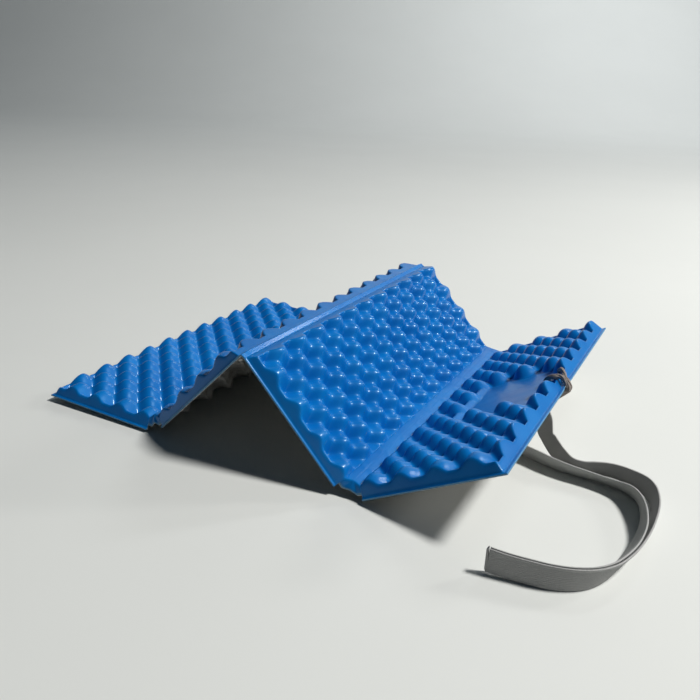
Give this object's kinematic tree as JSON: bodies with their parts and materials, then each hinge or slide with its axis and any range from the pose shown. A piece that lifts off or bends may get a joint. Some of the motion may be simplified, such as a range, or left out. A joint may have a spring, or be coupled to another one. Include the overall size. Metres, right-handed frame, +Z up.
{
  "type": "folding foam sit pad",
  "caption": "Accordion-folding egg-crate foam sit pad with a blue skin, a silvery reflective underside and an elastic strap loop that holds it shut.",
  "frame": {"origin": "on the floor, below the middle of the pad's box, strap left out", "axes": "+X from panel 1 to panel 4, across the folds; +Y along the folds, away from the strap's far end; +Z up"},
  "size_m": [0.4362, 0.3085, 0.0804],
  "materials": {
    "foam": "satin skin of blue closed-cell foam, pressed into an egg-crate pattern",
    "film": "thin crinkled aluminised film bonded to the foam",
    "strap": "ribbed flat woven elastic, grey"
  },
  "bodies": {
    "panel_1": {"panel_1_foam": "foam", "panel_1_film": "film", "fold_crease_1": "foam"},
    "panel_2": {"panel_2_foam": "foam", "panel_2_film": "film", "fold_crease_2": "foam"},
    "panel_3": {"panel_3_foam": "foam", "panel_3_film": "film", "fold_crease_3": "foam"},
    "panel_4": {"panel_4_foam": "foam", "panel_4_film": "film", "strap_hitch": "strap", "strap_ply_a": "strap", "strap_ply_b": "strap", "strap_end_fold": "strap"}
  },
  "joints": [
    {"name": "fold_1", "type": "hinge", "parent": "panel_1", "child": "panel_2", "pos_m": [-0.07852, 0, 0.0143], "axis": [0, -1, 0], "range_deg": [-46.5, 132]},
    {"name": "fold_2", "type": "hinge", "parent": "panel_2", "child": "panel_3", "pos_m": [0.004, 0, 0.07603], "axis": [0, 1, 0], "range_deg": [-91.5, 87]},
    {"name": "fold_3", "type": "hinge", "parent": "panel_3", "child": "panel_4", "pos_m": [0.08477, 0, 0.01203], "axis": [0, -1, 0], "range_deg": [-74.7, 103.5], "deforming": ["strap_hitch", "strap_ply_a", "strap_ply_b", "strap_end_fold"]}
  ]
}
